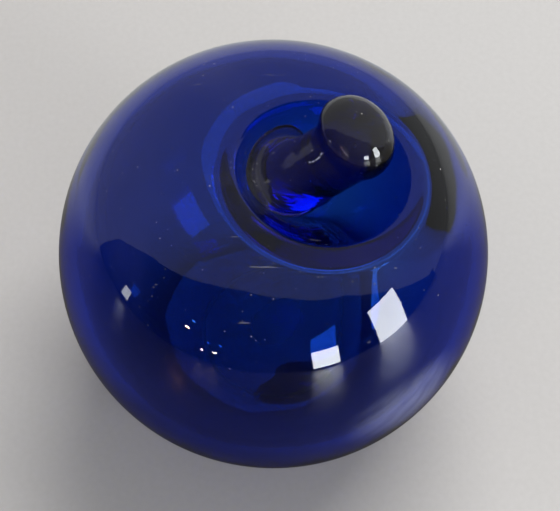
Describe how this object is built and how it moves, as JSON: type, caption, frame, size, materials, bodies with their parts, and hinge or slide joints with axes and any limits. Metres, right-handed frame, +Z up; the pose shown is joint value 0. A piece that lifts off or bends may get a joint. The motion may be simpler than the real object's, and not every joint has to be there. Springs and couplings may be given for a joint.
{
  "type": "paperweight",
  "caption": "Hollow blown glass paperweight in the form of an apple, deep blue, with a dimpled crown, a leaning round-knobbed stem and a flat foot ring.",
  "frame": {"origin": "centre of the foot ring at table level, straight below the middle of the blown bubble", "axes": "+Z up; +X towards the stem's leaning side; -Y is the front, where the crown's dimple sits a little nearer"},
  "size_m": [0.088, 0.088, 0.0844],
  "materials": {
    "body_glass": "deep cobalt blue blown glass, fire polished, with faint dust and wipe marks",
    "stem_glass": "the same cobalt glass, solid and so nearly black, fire polished",
    "seal_glass": "the same cobalt glass, slightly rough where the rod broke away"
  },
  "bodies": {
    "root": {"body_shell": "body_glass", "stem": "stem_glass", "pontil_seal": "seal_glass"}
  },
  "joints": []
}
